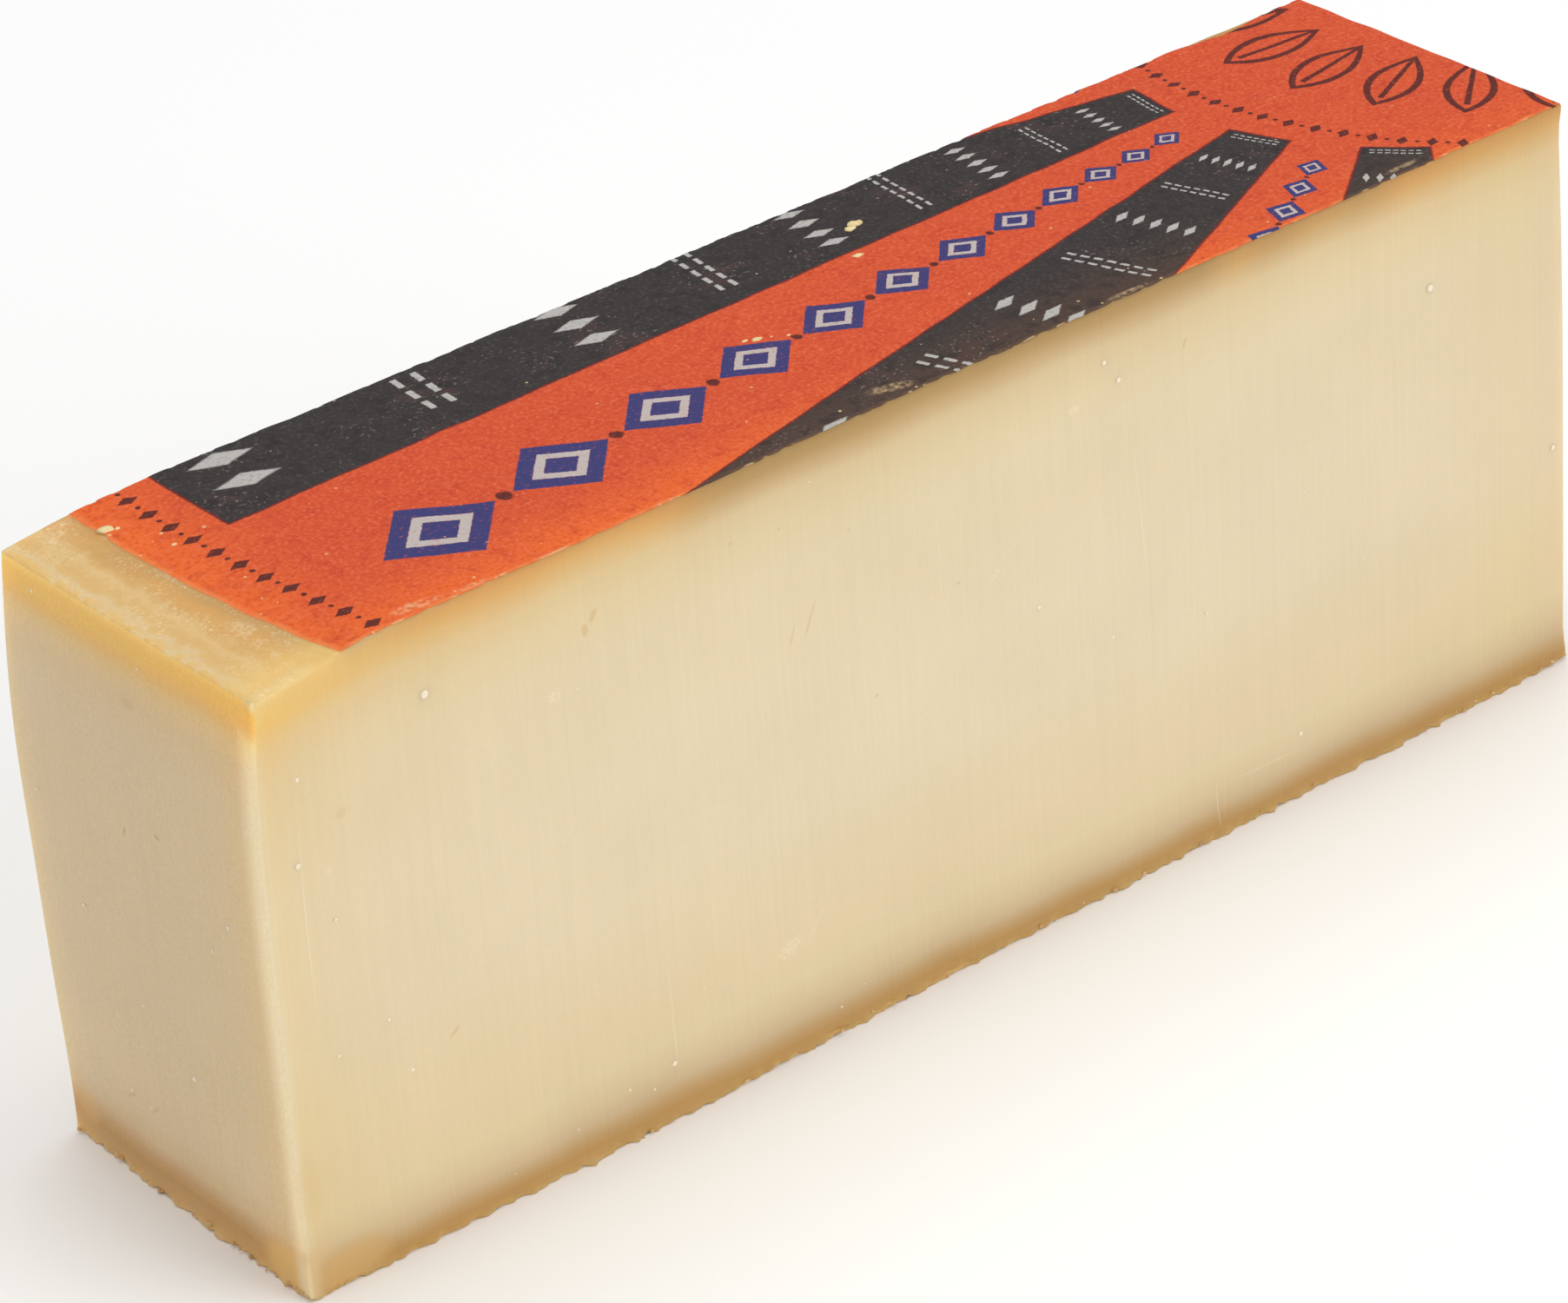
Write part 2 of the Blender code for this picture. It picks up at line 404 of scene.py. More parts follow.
def dot(vector, factors):
    """The sum of a vector field's components, each multiplied by a number of its own."""
    node = vector.tree.nodes.new("ShaderNodeVectorMath")
    node.operation = "DOT_PRODUCT"
    feed(node.inputs[0], vector)
    node.inputs[1].default_value = factors
    return Field(node.outputs["Value"])


def blots(x, y, marks):
    """Soft oval blots in a flat pattern, each its strength in its middle and 0 beyond its rim.

    A mark gives (x, y, half length, half width, turn in degrees, strength).
    """
    flat = join(x, y, 1.0)
    total = 0.0
    for mark_x, mark_y, half_long, half_wide, turn, strength in marks:
        heading = math.radians(turn)
        views = []
        for angle, reach in ((heading, half_long), (heading + math.pi / 2.0, half_wide)):
            cosine = math.cos(angle) / reach
            sine = math.sin(angle) / reach
            views.append(dot(flat, (cosine, sine, -cosine * mark_x - sine * mark_y)))
        run, off = views
        off_centre = run.maths("MULTIPLY_ADD", run, off * off).maths("SQRT")
        total = total + off_centre.ramp(0.4, 1.0, strength, 0.0)
    return total


def new_material(name):
    """A material with its shader, and the vector field of where its points lie in millimetres."""
    material = bpy.data.materials.new(name)
    material.use_nodes = True
    tree = material.node_tree
    coordinates = Field(tree.nodes.new("ShaderNodeTexCoord").outputs["Object"])
    return material, tree.nodes["Principled BSDF"], stretched(coordinates, (1000.0, 1000.0, 1000.0))


def laid_out(material):
    """Where the piece's points lie on the plain box, in millimetres: along it, across it and up."""
    node = material.node_tree.nodes.new("ShaderNodeAttribute")
    node.attribute_name = "laid_mm"
    return split(Field(node.outputs["Vector"]))


def bump(shader, height):
    """Raises the surface by a height in millimetres."""
    node = height.tree.nodes.new("ShaderNodeBump")
    node.inputs["Distance"].default_value = 0.001
    node.inputs["Strength"].default_value = 1.0
    feed(node.inputs["Height"], height)
    feed(shader.inputs["Normal"], Field(node.outputs["Normal"]))


WHEEL_ALONG = 298.0
WHEEL_ACROSS = 47.1
LABEL_RADIUS = 286.1


def beyond_rim(along, across):
    """How far outside the label's round rim a point lies, which is less than 0 within it."""
    from_middle_x = along - WHEEL_ALONG
    from_middle_y = across - WHEEL_ACROSS
    return (from_middle_x**2.0 + from_middle_y**2.0).maths("SQRT") - LABEL_RADIUS


PASTE = paint(232, 215, 182)
WARM_CORNER = paint(212, 172, 111)
WARM_HEEL_CORNER = paint(236, 190, 115)
PALE_CORNER = paint(219, 188, 138)
PALE_HEEL_CORNER = paint(234, 210, 164)
NICK_BROWN = paint(206, 160, 92)
SCRATCH_CREAM = paint(246, 236, 210)
PATCH_CREAM = paint(243, 227, 188)
RIND_BROWN = paint(206, 156, 92)
RIND_HONEY = paint(242, 206, 125)
WORN_CREAM = paint(232, 204, 146)
RIND_CHALK_AND_HIGHLIGHT = paint(245, 226, 184)
FOOT_BROWN = paint(156, 108, 64)
# Up the cuts from the foot: the brown band of the lower rind, lightened in its lowest millimetre as
# painted light against the table's shade.
FOOT_TONES = (
    (0.0, 211, 171, 107),
    (1.0, 197, 153, 91),
    (2.4, 191, 149, 89),
    (4.2, 197, 162, 112),
    (6.5, 210, 185, 146),
    (9.5, 221, 200, 161),
    (14.0, 228, 210, 170),
    (21.0, 230, 210, 172),
    (30.0, 231, 213, 175),
    (42.0, 232, 215, 182),
)
GOLDEN_TOP_TONES = (
    (0.0, 224, 157, 86),
    (2.0, 225, 170, 99),
    (4.0, 225, 185, 124),
    (7.0, 227, 200, 150),
    (11.0, 229, 207, 164),
    (14.0, 230, 210, 169),
    (19.0, 230, 213, 176),
    (30.0, 231, 214, 179),
    (42.0, 232, 215, 182),
)
DULL_TOP_TONES = (
    (0.0, 184, 143, 84),
    (2.0, 190, 151, 96),
    (4.0, 203, 170, 122),
    (7.0, 221, 197, 153),
    (11.0, 226, 206, 165),
    (14.0, 228, 210, 169),
    (19.0, 230, 213, 176),
    (30.0, 232, 214, 179),
    (42.0, 232, 215, 182),
)
# Down the heel from its top edge: golden rind, brighter than the paste in its top few millimetres, which
# is a painted glow of the light that comes through from the top.
HEEL_TOP_TONES = (
    (0.0, 256, 221, 135),
    (1.6, 252, 212, 116),
    (3.5, 253, 210, 118),
    (4.8, 251, 206, 124),
    (5.8, 247, 206, 136),
    (7.5, 242, 212, 154),
    (9.5, 240, 214, 167),
    (12.0, 235, 212, 173),
    (19.0, 232, 215, 182),
)
# Across the heel from its front corner: paler by the corner, a painted highlight, and lighter towards
# the back edge, a painted glow.
HEEL_SIDE_TONES = (
    (0.0, 241, 225, 187),
    (0.8, 248, 233, 193),
    (1.6, 248, 230, 184),
    (2.6, 243, 220, 173),
    (3.5, 236, 210, 164),
    (4.6, 232, 202, 150),
    (6.5, 229, 201, 152),
    (9.0, 228, 200, 155),
    (13.0, 225, 200, 157),
    (31.0, 224, 200, 160),
    (47.0, 225, 201, 161),
    (55.0, 227, 204, 164),
    (59.2, 232, 208, 166),
    (62.2, 235, 215, 169),
)
# Up the heel from the foot: the brown band of the lower rind, lightened in its lowest two millimetres as
# painted light against the table's shade.
HEEL_FOOT_TONES = (
    (0.0, 244, 208, 148),
    (1.2, 226, 184, 124),
    (2.4, 215, 174, 117),
    (4.2, 207, 165, 106),
    (6.5, 214, 179, 131),
    (9.5, 229, 206, 168),
    (14.0, 233, 215, 182),
    (21.0, 235, 217, 184),
    (33.0, 232, 215, 182),
)
RIND_TONES = (
    (0.0, 231, 188, 114),
    (1.6, 223, 196, 145),
    (2.8, 223, 184, 119),
    (4.0, 221, 180, 114),
    (6.0, 226, 190, 129),
    (8.0, 218, 170, 102),
    (9.5, 218, 165, 93),
    (12.5, 209, 157, 93),
)
CORNER_TOP_TONES = (
    (0.0, 232, 212, 153),
    (2.0, 234, 203, 134),
    (5.0, 236, 198, 123),
    (7.0, 232, 200, 139),
    (10.0, 230, 203, 156),
    (14.0, 229, 207, 165),
    (19.0, 230, 210, 172),
    (35.0, 232, 215, 182),
)
# Along the cuts from the heel: paler at the heel's corner, a painted highlight, and darker towards the
# toe, which is painted shade.
LENGTH_TONES = (
    (0.0, 238, 221, 184),
    (1.0, 232, 213, 172),
    (2.2, 229, 207, 162),
    (8.0, 228, 208, 167),
    (20.0, 230, 211, 174),
    (45.0, 231, 213, 178),
    (100.0, 229, 212, 178),
    (200.0, 228, 211, 178),
    (240.0, 226, 208, 173),
    (255.0, 226, 207, 168),
    (266.0, 221, 203, 169),
)
WANDER_SIZE = 24.0
WANDER_REACH = 3.5
CLOUD_SIZE = 28.0
DRAG_LINE_WIDTH = 0.8
DRAG_LINE_SHARE = 0.016
GRAIN_SIZE = 0.55
CRUST_SIZE = 3.2
DUST_PITCH = 1.3
DULL_STRETCHES = ((84.0, 186.0, 1.0), (186.0, 203.0, 0.45), (203.0, 224.0, 0.6), (224.0, 266.0, 0.3))
NICKS = (
    (61.4, 92.2, 1.6, 0.8, 60.0, 0.35),
    (59.8, 90.4, 1.4, 0.85, 95.0, 0.4),
    (83.2, 99.8, 0.4, 0.3, 0.0, 0.35),
    (97.3, 92.4, 0.4, 0.35, 0.0, 0.4),
    (87.8, 93.7, 0.6, 0.35, 0.0, 0.25),
    (111.0, 86.8, 0.35, 0.6, 0.0, 0.25),
    (14.6, 79.4, 1.4, 1.2, 15.0, 0.2),
    (30.1, 34.4, 1.6, 0.4, 40.0, 0.35),
    (181.1, 92.6, 1.4, 0.35, 70.0, 0.4),
    (102.5, 75.0, 4.2, 0.35, 66.0, 0.28),
    (98.8, 73.5, 2.6, 0.3, 72.0, 0.25),
    (114.4, 56.6, 0.6, 0.45, 0.0, 0.3),
    (132.2, 69.2, 0.7, 0.4, 0.0, 0.25),
)
WARM_SPOTS = (
    (7.5, 3.4, 9.5, 5.2, 6.0, 0.8),
    (1.5, 20.0, 3.0, 9.0, 0.0, 0.15),
)
HEEL_WARM_SPOTS = (
    (5.0, 3.5, 8.0, 6.5, 0.0, 0.8),
    (57.5, 7.0, 4.0, 4.0, 0.0, 0.35),
)
HEEL_NICKS = (
    (34.9, 68.6, 1.3, 0.4, 110.0, 0.6),
    (26.2, 71.4, 1.1, 0.4, 20.0, 0.6),
    (44.0, 15.9, 2.2, 0.4, -35.0, 0.35),
    (37.4, 16.3, 1.9, 0.4, -40.0, 0.35),
    (30.6, 92.3, 2.2, 1.0, 0.0, 0.2),
    (48.9, 48.9, 2.0, 0.35, -20.0, 0.3),
)
SCRATCHES = (
    (6.9, 69.5, 18.0, 0.16, 89.4, 0.7),
    (6.9, 58.2, 14.0, 0.16, 90.3, 0.55),
    (70.0, 17.3, 12.3, 0.14, 90.6, 0.9),
    (170.3, 66.8, 15.9, 0.15, 94.0, 0.8),
    (184.4, 6.2, 6.0, 0.14, 90.0, 0.9),
    (195.8, 9.3, 11.2, 0.14, -2.0, 0.7),
    (99.0, 22.0, 5.0, 0.2, 55.0, 0.6),
    (143.0, 71.0, 3.0, 0.2, 20.0, 0.5),
)
CHALK_CLOUDS = (
    (8.0, 59.0, 5.5, 3.4, 20.0, 0.9),
    (3.2, 54.5, 4.5, 1.6, 95.0, 0.6),
    (12.6, 34.5, 7.5, 1.5, 98.0, 0.9),
    (10.6, 14.0, 8.0, 2.6, 94.0, 0.75),
    (5.0, 40.0, 9.0, 2.0, 90.0, 0.35),
    (9.3, 5.0, 5.0, 1.6, 84.0, 0.5),
)
BROWN_STRETCHES = (
    (11.0, 43.5, 12.0, 4.4, 101.0, 0.9),
    (13.2, 26.0, 10.0, 3.4, 98.0, 0.85),
    (14.2, 14.5, 6.0, 2.0, 95.0, 0.4),
)
PALE_PATCHES = (
    (93.6, 20.2, 3.4, 1.8, 20.0, 0.9),
    (53.6, 81.9, 1.5, 1.1, 0.0, 0.8),
    (11.5, 71.1, 1.1, 0.9, 0.0, 0.7),
    (139.7, 67.6, 2.0, 1.2, 40.0, 0.7),
    (157.3, 89.7, 1.6, 1.0, 10.0, 0.7),
)

paste, paste_shader, paste_mm = new_material("cheese_paste")
along, across, up = laid_out(paste)
under = HEIGHT_MM - up

# The tones run inwards from the top, the foot and the upright edges, by tables of their own on the
# cuts and on the heel. Some of them are painted light: a glow under the heel's top edge and at its
# upright edges, a highlight at the heel's front corner, a lighter foot against the table's shade, and
# painted shade towards the toe.
wander = noise(paste_mm, WANDER_SIZE) * WANDER_REACH
top_depth = under + wander * 0.7
dull = 0.0
for dull_from, dull_to, dull_share in DULL_STRETCHES:
    dull_end = along.ramp(dull_to - 6.0, dull_to + 8.0, dull_share, 0.0)
    dull = dull + along.ramp(dull_from - 14.0, dull_from + 6.0) * dull_end
top_tone = blend(dull, tones(top_depth, GOLDEN_TOP_TONES), tones(top_depth, DULL_TOP_TONES))
top_tone = blend(along.fade(22.0), top_tone, tones(top_depth, CORNER_TOP_TONES))
foot_height = up + wander * up.ramp(0.0, 4.0)
front_tone = times(times(tones(along, LENGTH_TONES), top_tone), tones(foot_height, FOOT_TONES))

from_corner = larger(across + wander * across.ramp(2.0, 14.0), 8.5 - under)
heel_tone = times(tones(from_corner, HEEL_SIDE_TONES), tones(top_depth, HEEL_TOP_TONES))
heel_tone = times(heel_tone, tones(foot_height, HEEL_FOOT_TONES))
on_heel = along.ramp(0.1, 0.9, 1.0, 0.0)
colour = times(blend(on_heel, front_tone, heel_tone), PASTE[:3])

# Soft clouds, the wire's drag lines, and the grain of the curd.
cloud = noise(paste_mm, CLOUD_SIZE, 2.0) * 0.09
drag = noise(stretched(paste_mm, (1.0, 1.0, DRAG_LINE_SHARE)), DRAG_LINE_WIDTH, 1.0, 0.6)
grain = noise(paste_mm, GRAIN_SIZE, 1.0, 0.6)
shade = 1.0 + cloud + drag * 0.05 + grain * (on_heel * 0.13 + 0.04)
colour = times(colour, join(shade, shade, shade * 1.25 - 0.25))

# Nicks, scratches and pale patches, and the warm foot of the near corner with its pale edge.
on_cut = across.ramp(0.5, 1.5, 1.0, 0.0)
nicked = blots(along, up, NICKS) * on_cut + blots(across, up, HEEL_NICKS) * on_heel
scratched = blots(along, up, SCRATCHES) * on_cut
patched = blots(along, up, PALE_PATCHES) * on_cut * (grain * 2.5 + 0.4)
colour = blend(blots(along, up, WARM_SPOTS) * on_cut, colour, WARM_CORNER)
colour = blend(blots(across, up, HEEL_WARM_SPOTS) * on_heel, colour, WARM_HEEL_CORNER)
foot_corner = up.ramp(6.0, 10.0, 1.0, 0.0)
colour = blend(along.ramp(0.4, 3.6, 1.0, 0.0) * foot_corner * on_cut, colour, PALE_CORNER)
colour = blend(across.ramp(1.2, 4.0, 1.0, 0.0) * foot_corner * on_heel, colour, PALE_HEEL_CORNER)
colour = blend((nicked * (grain + 1.0)).maths("MINIMUM", 1.0), colour, NICK_BROWN)
colour = blend(scratched * 0.35, colour, SCRATCH_CREAM)
colour = blend(patched.maths("MINIMUM", 0.6).maths("MAXIMUM", 0.0), colour, PATCH_CREAM)

# The upper rind, browner towards the label and chalk-dusted in clouds, bands and along its top edge
# at the heel, where the pale line is also a painted highlight, as is a pale spot at the heel's front
# corner. Just beside the label it is made lighter, which is painted light, and along the front edge
# darker, which is painted shade.
on_top = under.ramp(0.05, 0.5, 1.0, 0.0) * along.ramp(14.0, 18.0, 1.0, 0.0)
crust = noise(paste_mm, CRUST_SIZE, 3.0, 0.65)
rind_tone = times(tones(along + crust * 6.0, RIND_TONES), PASTE[:3])
browned = (blots(along, across, BROWN_STRETCHES) * (crust * 1.5 + 0.8)).maths("MINIMUM", 1.0)
rind_tone = blend(browned.maths("MAXIMUM", 0.0), rind_tone, RIND_BROWN)
rind_tone = blend(across.fade(7.0) * 0.8, rind_tone, RIND_HONEY)
beside_label = beyond_rim(along, across).ramp(0.0, 1.4, 1.0, 0.0)
# Painted shade: the top rind darker within four millimetres of the front edge, where the front lamp
# catches the rounding.
painted_edge_shade = across.ramp(0.0, 4.0, 0.86, 1.0)
# Painted light: the rind lighter and warmer within a millimetre and a half of the label's rim, against
# the shade that the covered paste under the label leaves there.
painted_light_beside_label = join(beside_label * 0.16 + 1.0, beside_label * 0.08 + 1.0, 1.0 - beside_label * 0.05)
rind_tone = times(times(rind_tone, painted_light_beside_label), join(painted_edge_shade, painted_edge_shade, painted_edge_shade))
colour = blend(on_top, colour, rind_tone)
(dust,) = use_group(specks, paste.node_tree, place=paste_mm, pitch=DUST_PITCH, share=0.3)
banded = noise(stretched(paste_mm, (1.0, 0.3, 1.0)), 3.0, 1.0).ramp(-0.06, 0.1)
broken = crust.ramp(-0.06, 0.1) * grain.ramp(-0.12, 0.12, 0.25, 1.0)
clouded = blots(along, across, CHALK_CLOUDS) * broken
# Chalk along the heel's top edge, and a painted highlight of that edge.
edge_chalk_and_highlight = larger(under, along).ramp(0.15, 0.6, 1.0, 0.0) * crust.ramp(-0.06, 0.14, 0.1, 1.0)
worn = larger(under, across * 0.5).ramp(0.5, 1.3, 1.0, 0.0) * along.ramp(9.0, 13.0, 0.5, 0.0)
# A painted highlight: a pale spot at the top of the heel's front corner.
corner_highlight = larger(along, larger(across, under * 0.35)).ramp(0.3, 0.75, 0.7, 0.0)
colour = blend(worn, colour, WORN_CREAM)
dusty = banded * (dust * 0.3 + grain.ramp(0.0, 0.2) * 0.35)
chalk_and_highlight = larger(on_top * larger(dusty, clouded * 0.6), edge_chalk_and_highlight * 0.38, corner_highlight)
colour = blend(chalk_and_highlight.maths("MINIMUM", 0.85), colour, RIND_CHALK_AND_HIGHLIGHT)

# The brown underside.
inside_rim = across.maths("MINIMUM", WIDTH_MM - across).maths("MINIMUM", along).ramp(0.6, 2.0)
under_foot = up.ramp(0.02, 0.2, 1.0, 0.0) * inside_rim * (crust * 2.0 + 0.8)
colour = blend(under_foot.maths("MINIMUM", 1.0), colour, FOOT_BROWN)

feed(paste_shader.inputs["Base Color"], colour)
feed(paste_shader.inputs["Roughness"], crust * 0.2 + 0.48 + chalk_and_highlight * 0.3)
paste_shader.inputs["Subsurface Weight"].default_value = 0.8
paste_shader.inputs["Subsurface Radius"].default_value = (1.0, 0.5, 0.22)
paste_shader.inputs["Subsurface Scale"].default_value = 0.006
paste_shader.subsurface_method = "BURLEY"
paste_shader.inputs["Specular IOR Level"].default_value = 0.3

bump(paste_shader, drag * 0.03 + grain * (on_heel * 0.06 + on_top * 0.12 + 0.012))


# The cheese
# One solid of cheese, about two kilos. The heel's front corner is worn, the other edges are crisp,
# and the lower rind crumbles along its rim. The skin is a fine lattice carried onto the slab's form.

HEEL_EDGE_ROUND = 0.0011
CUT_EDGE_ROUND = 0.0004
HEEL_EDGE_REACH = 0.007
HEEL_EDGE_FOOT = 0.012
TOE_FOOT_ROUND = 0.0015
TOE_FOOT_REACH = 0.006
CRUMB_OUT = 0.00052
CRUMB_BITE = 0.0006
CRUMB_HEIGHT = 0.0019
CRUMB_SIZE = 0.005
CRUMB_REACH = 0.0026
CUT_WAVE = 0.0002
CUT_WAVE_SIZE = 0.05
RIND_RELIEF = 0.00011
RIND_RELIEF_SIZE = 0.009
RELIEF_SEED = 5
SKIN_STEPS = (330, 62, 34)

size = np.array((SLAB_LENGTH, SLAB_WIDTH, SLAB_HEIGHT))
ticks = [edge_steps(extent, count) for extent, count in zip(size, SKIN_STEPS)]
steps, squares = box_skin([len(places) for places in ticks])
plain = np.stack([places[step] for places, step in zip(ticks, steps)], axis=-1)

at_corner = bell(0.0, HEEL_EDGE_REACH, plain[:, 0]) * bell(0.0, HEEL_EDGE_REACH, plain[:, 1])
at_corner = at_corner * rise(0.0, HEEL_EDGE_FOOT, plain[:, 2])
at_toe_foot = bell(SLAB_LENGTH, TOE_FOOT_REACH, plain[:, 0]) * bell(0.0, TOE_FOOT_REACH, plain[:, 2])
radius = CUT_EDGE_ROUND + (HEEL_EDGE_ROUND - CUT_EDGE_ROUND) * at_corner
radius = (radius + (TOE_FOOT_ROUND - CUT_EDGE_ROUND) * at_toe_foot)[:, None]
core = np.clip(plain, radius, size - radius)
outward = plain - core
outward /= np.maximum(np.linalg.norm(outward, axis=1, keepdims=True), 1e-9)
skin = core + radius * outward

cut_relief = CUT_WAVE * ripple(plain, CUT_WAVE_SIZE, seed=3)
rind_relief = RIND_RELIEF * ripple(plain, RIND_RELIEF_SIZE, RELIEF_SEED)
on_rind = rise(0.6, 0.95, np.abs(outward[:, 2]))
relief = cut_relief * (1.0 - on_rind) + rind_relief * on_rind
relief = np.where(outward[:, 2] < -0.5, 0.0, relief)
skin = skin + outward * relief[:, None]

near_foot = 1.0 - rise(0.0, CRUMB_HEIGHT, plain[:, 2])
from_rim = np.minimum(plain, size - plain)[:, :2].min(axis=1)
near_rim = 1.0 - rise(0.0, CRUMB_REACH, from_rim)
ragged = ripple(plain, CRUMB_SIZE, seed=7) + 0.8 * ripple(plain, CRUMB_SIZE / 3.0, seed=8)
ragged = ragged * np.where(ragged < 0.0, CRUMB_OUT, CRUMB_BITE) * near_foot * near_rim
to_middle = np.sign(size / 2.0 - plain) * (np.abs(outward) > 0.3)
to_middle[:, 2] = 0.5 * (ragged > 0.0)
skin = skin + to_middle * ragged[:, None]

cheese = new_piece("cheese", placed(skin), squares, paste, plain)
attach(cheese, "root")
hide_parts("cheese_slab")


# The crystals
# Small white grains that a long-ripened paste grows, laid bare by the cuts, as low domes half sunk
# in the faces. The few that stand out have places of their own, and the rest are scattered.

FRONT_CRYSTALS = (
    (30.3, 91.8, 0.75),
    (6.3, 74.8, 0.5),
    (7.3, 88.7, 0.4),
    (69.5, 10.2, 0.55),
    (164.0, 95.4, 0.45),
    (166.9, 91.4, 0.5),
    (235.2, 82.6, 0.7),
    (263.0, 42.5, 0.5),
    (148.2, 58.3, 0.4),
    (203.4, 11.9, 0.5),
    (90.7, 6.5, 0.45),
    (22.0, 31.4, 0.4),
)
HEEL_CRYSTALS = (
    (49.4, 48.7, 0.4),
    (43.8, 16.9, 0.35),
    (10.0, 63.1, 0.4),
    (15.0, 56.6, 0.35),
    (25.0, 28.4, 0.5),
    (36.6, 36.2, 0.35),
)
CRYSTAL_FLATNESS = 0.35
SMALL_CRYSTALS = 90
SMALL_CRYSTAL_RADIUS = (0.00012, 0.00034)
SMALL_CRYSTAL_SIDES = (0.4, 0.1, 0.4, 0.1)
CRYSTAL_CREAM = paint(240, 224, 194)
CRYSTAL_WHITE = paint(250, 240, 218)


def pebbles(name, places, radii, flatten, lumpiness, seed, material, splits=2):
    """Many small lumps in one mesh: icospheres, split once or twice, dented, turned and squashed.

    flatten holds each lump's share of its radius along x, y and z. The dents are draws between 1
    minus and 1 plus the lumpiness, and the turn about the upright is a draw too.
    """
    ball = bmesh.new()
    bmesh.ops.create_icosphere(ball, subdivisions=splits, radius=1.0)
    unit = np.array([point.co[:] for point in ball.verts])
    corners = np.array([[point.index for point in face.verts] for face in ball.faces])
    ball.free()
    count = len(places)
    draw = np.random.default_rng(seed)
    lumps = unit * draw.uniform(1.0 - lumpiness, 1.0 + lumpiness, (count, len(unit), 1))
    turn = draw.uniform(0.0, 2.0 * np.pi, count)[:, None]
    cosine, sine = np.cos(turn), np.sin(turn)
    x, y, z = np.moveaxis(lumps, -1, 0)
    lumps = np.stack((x * cosine - y * sine, x * sine + y * cosine, z), axis=-1)
    lumps = lumps * np.reshape(flatten, (-1, 1, 3)) * np.asarray(radii)[:, None, None]
    points = np.asarray(places)[:, None] + lumps
    faces = corners + len(unit) * np.arange(count)[:, None, None]
    return new_piece(name, points.reshape(-1, 3), faces.reshape(-1, 3), material)


mineral, mineral_shader, mineral_mm = new_material("crystal_mineral")
mineral_colour = blend(noise(mineral_mm, 0.3) + 0.5, CRYSTAL_CREAM, CRYSTAL_WHITE)
feed(mineral_shader.inputs["Base Color"], mineral_colour)
mineral_shader.inputs["Roughness"].default_value = 0.5

front_marks = np.array(FRONT_CRYSTALS) / 1000.0
heel_marks = np.array(HEEL_CRYSTALS) / 1000.0
draw = np.random.default_rng(17)
small_share = draw.uniform(0.03, 0.97, (SMALL_CRYSTALS, 3))
small_side = draw.choice(4, SMALL_CRYSTALS, p=SMALL_CRYSTAL_SIDES)
small_marks = small_share * size
small_marks[small_side == 0, 1] = 0.0
small_marks[small_side == 1, 0] = 0.0
small_marks[small_side == 2, 1] = SLAB_WIDTH
small_marks[small_side == 3, 0] = SLAB_LENGTH
spots = np.concatenate(
    (
        np.insert(front_marks[:, :2], 1, 0.0, axis=1),
        np.insert(heel_marks[:, :2], 0, 0.0, axis=1),
        small_marks,
    )
)
lies_long = np.concatenate((np.ones(len(front_marks)), np.zeros(len(heel_marks)), (small_side + 1) % 2))
flat_ways = np.where(lies_long[:, None] == 1, (1.0, CRYSTAL_FLATNESS, 1.0), (CRYSTAL_FLATNESS, 1.0, 1.0))
small_growth = draw.uniform(0.0, 1.0, SMALL_CRYSTALS) ** 2
small_radii = SMALL_CRYSTAL_RADIUS[0] + np.ptp(SMALL_CRYSTAL_RADIUS) * small_growth
crystal_radii = np.concatenate((front_marks[:, 2], heel_marks[:, 2], small_radii))
crystals = pebbles("crystals", placed(spots), crystal_radii, flat_ways, 0.08, 21, mineral)
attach(crystals, "root")


# The crumbs
# Bits of cheese and rind, from a grain to a few millimetres, that cling to the broken rim of the foot
# and to the label. Those of the rim are brown, and those of the label are cream.

RIM_CRUMBS = 170
RIM_CRUMB_RADIUS = (0.00016, 0.00048)
RIM_CRUMB_SIDES = (0.28, 0.4, 0.24, 0.08)
RIM_CRUMB_GAP = 0.0004
RIM_CRUMB_HEIGHT = 0.0009
RIM_CRUMB_BROWN = paint(200, 156, 98)
RIM_CRUMB_CREAM = paint(232, 200, 146)
DRY_CRUMB_HONEY = paint(226, 194, 132)
DRY_CRUMB_CREAM = paint(242, 224, 172)
LABEL_CRUMBS = (
    (13.2, 54.0, 1.3),
    (14.7, 52.9, 0.6),
    (149.1, 41.5, 1.0),
    (156.2, 50.8, 1.25),
    (154.6, 49.9, 0.9),
    (119.2, 30.5, 0.85),
    (117.6, 31.6, 0.5),
    (121.3, 29.6, 0.4),
    (123.6, 28.2, 0.35),
    (17.6, 42.6, 0.5),
    (18.9, 41.2, 0.35),
)

draw = np.random.default_rng(31)
run = draw.uniform(0.0, 1.0, RIM_CRUMBS)
side = draw.choice(4, RIM_CRUMBS, p=RIM_CRUMB_SIDES)
gap = draw.uniform(-RIM_CRUMB_GAP, RIM_CRUMB_GAP, RIM_CRUMBS)
long_run = run * SLAB_LENGTH
rim_x = np.select((side == 0, side == 1, side == 2), (long_run, gap, long_run), SLAB_LENGTH - gap)
rim_y = np.select((side == 0, side == 2), (gap, SLAB_WIDTH - gap), run * SLAB_WIDTH)
crumb_radius = RIM_CRUMB_RADIUS[0] + np.ptp(RIM_CRUMB_RADIUS) * draw.uniform(0.0, 1.0, RIM_CRUMBS) ** 2
rim_z = crumb_radius * 0.8 + draw.uniform(0.0, RIM_CRUMB_HEIGHT, RIM_CRUMBS)
crumb_places = placed(np.stack((rim_x, rim_y, rim_z), axis=-1))
crumb_places[:, 2] = np.maximum(crumb_places[:, 2], crumb_radius)
rim_matter, rim_shader, rim_mm = new_material("rim_crumb")
rim_colour = blend(noise(rim_mm, 2.5) * 2.5 + 0.5, RIM_CRUMB_BROWN, RIM_CRUMB_CREAM)
